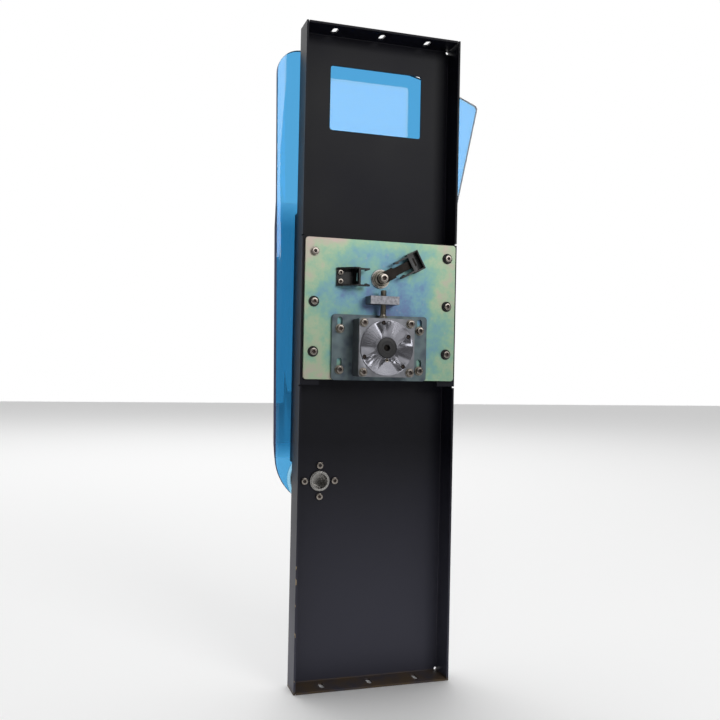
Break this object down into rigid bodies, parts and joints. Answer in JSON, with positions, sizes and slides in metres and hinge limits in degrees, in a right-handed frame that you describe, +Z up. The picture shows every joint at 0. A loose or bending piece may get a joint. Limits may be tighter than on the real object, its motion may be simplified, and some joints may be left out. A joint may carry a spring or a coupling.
{
  "type": "access gate wing unit",
  "caption": "Wing unit of an access gate: folded black tray, zinc drive plate with a belt-driven crank, and a tinted fan-shaped acrylic wing that swings on a low spindle.",
  "frame": {"origin": "centre of the middle fixing slot, on the outer face of the tray's bottom flange", "axes": "+Z up the tray, +Y from the mechanism side towards the wing, +X to the right seen from the mechanism side"},
  "size_m": [0.2206, 0.0881, 0.65],
  "materials": {
    "tray_black": "fine black powder coat",
    "zinc_yellow": "rainbow yellow zinc passivate",
    "galvanised": "blue zinc plate",
    "turned_aluminium": "turned",
    "milled_aluminium": "milled",
    "nickel_screw": "bright nickel",
    "black_oxide": "black oxide",
    "bearing_steel": "ground",
    "black_plastic": "moulded nylon",
    "nylon": "natural nylon",
    "rubber": "moulded",
    "bronze": "sintered bronze",
    "copper_winding": "enamelled wire",
    "magnet": "nickel plated",
    "blue_acrylic": "clear blue, polished"
  },
  "bodies": {
    "carrier": {"carrier_tray": "tray_black", "drive_plate": "zinc_yellow", "plate_screws": "nickel_screw", "plate_washers": "nickel_screw", "plate_isolators": "rubber", "lip_nuts": "nickel_screw", "unit_bracket": "galvanised", "bracket_screws": "nickel_screw", "bracket_washers": "nickel_screw", "unit_housing": "milled_aluminium", "unit_cover": "turned_aluminium", "unit_stator": "copper_winding", "unit_front_bearing": "bearing_steel", "unit_rear_bearing": "bearing_steel", "unit_corner_screws": "nickel_screw", "unit_corner_washers": "nickel_screw", "unit_cover_screws": "black_oxide", "cover_eyelet": "nickel_screw", "jack_block": "milled_aluminium", "jack_screw": "nickel_screw", "jack_foot": "nickel_screw", "jack_block_screws": "nickel_screw", "rear_bearing": "bearing_steel", "front_bearing": "bearing_steel", "sensor_bracket": "tray_black", "sensor_bracket_screws": "nickel_screw", "sensor_clip": "black_plastic", "drive_belt": "rubber", "front_channel": "tray_black", "channel_screws": "nickel_screw", "channel_nuts": "nickel_screw", "bearing_holder": "milled_aluminium", "holder_screws": "nickel_screw", "spindle_housing": "milled_aluminium", "spindle_bush": "bronze", "housing_screws": "nickel_screw", "thrust_washer": "nylon"},
    "drive_rotor": {"unit_shaft": "bearing_steel", "unit_hub": "black_oxide", "unit_rotor": "magnet", "small_pulley": "milled_aluminium"},
    "crank": {"crank_shaft": "bearing_steel", "big_pulley": "milled_aluminium", "crank_arm": "galvanised", "crank_pin": "bearing_steel", "flag_arm": "black_oxide", "arm_clip": "black_plastic", "arm_screw": "nickel_screw", "arm_washers": "nickel_screw", "shaft_spacer": "galvanised", "crank_screw": "nickel_screw"},
    "roller": {"crank_roller": "nylon"},
    "wing": {"wing_panel": "blue_acrylic", "wing_doubler": "blue_acrylic", "wing_spindle": "bearing_steel", "spindle_circlip": "bearing_steel", "clamp_ring": "milled_aluminium", "hub_screws": "nickel_screw", "slot_plate": "galvanised", "slot_plate_screws": "nickel_screw"}
  },
  "joints": [
    {"name": "crank_turn", "type": "hinge", "parent": "carrier", "child": "crank", "pos_m": [-0.002, 0, 0.403], "axis": [0, -1, 0], "range_deg": [0, 90]},
    {"name": "wing_swing", "type": "hinge", "parent": "carrier", "child": "wing", "pos_m": [-0.052, 0, 0.2015], "axis": [0, -1, 0], "range_deg": [0, 18.75]},
    {"name": "unit_turn", "type": "hinge", "parent": "carrier", "child": "drive_rotor", "pos_m": [-0.002, 0, 0.335], "axis": [0, -1, 0], "range_deg": [0, 180]},
    {"name": "roller_spin", "type": "hinge", "parent": "crank", "child": "roller", "pos_m": [0.04768, 0, 0.43293], "axis": [0, -1, 0], "continuous": true}
  ],
  "couplings": [
    {"joint": "wing_swing", "follows": "crank_turn", "ratio": 0.20816},
    {"joint": "unit_turn", "follows": "crank_turn", "ratio": 2}
  ]
}
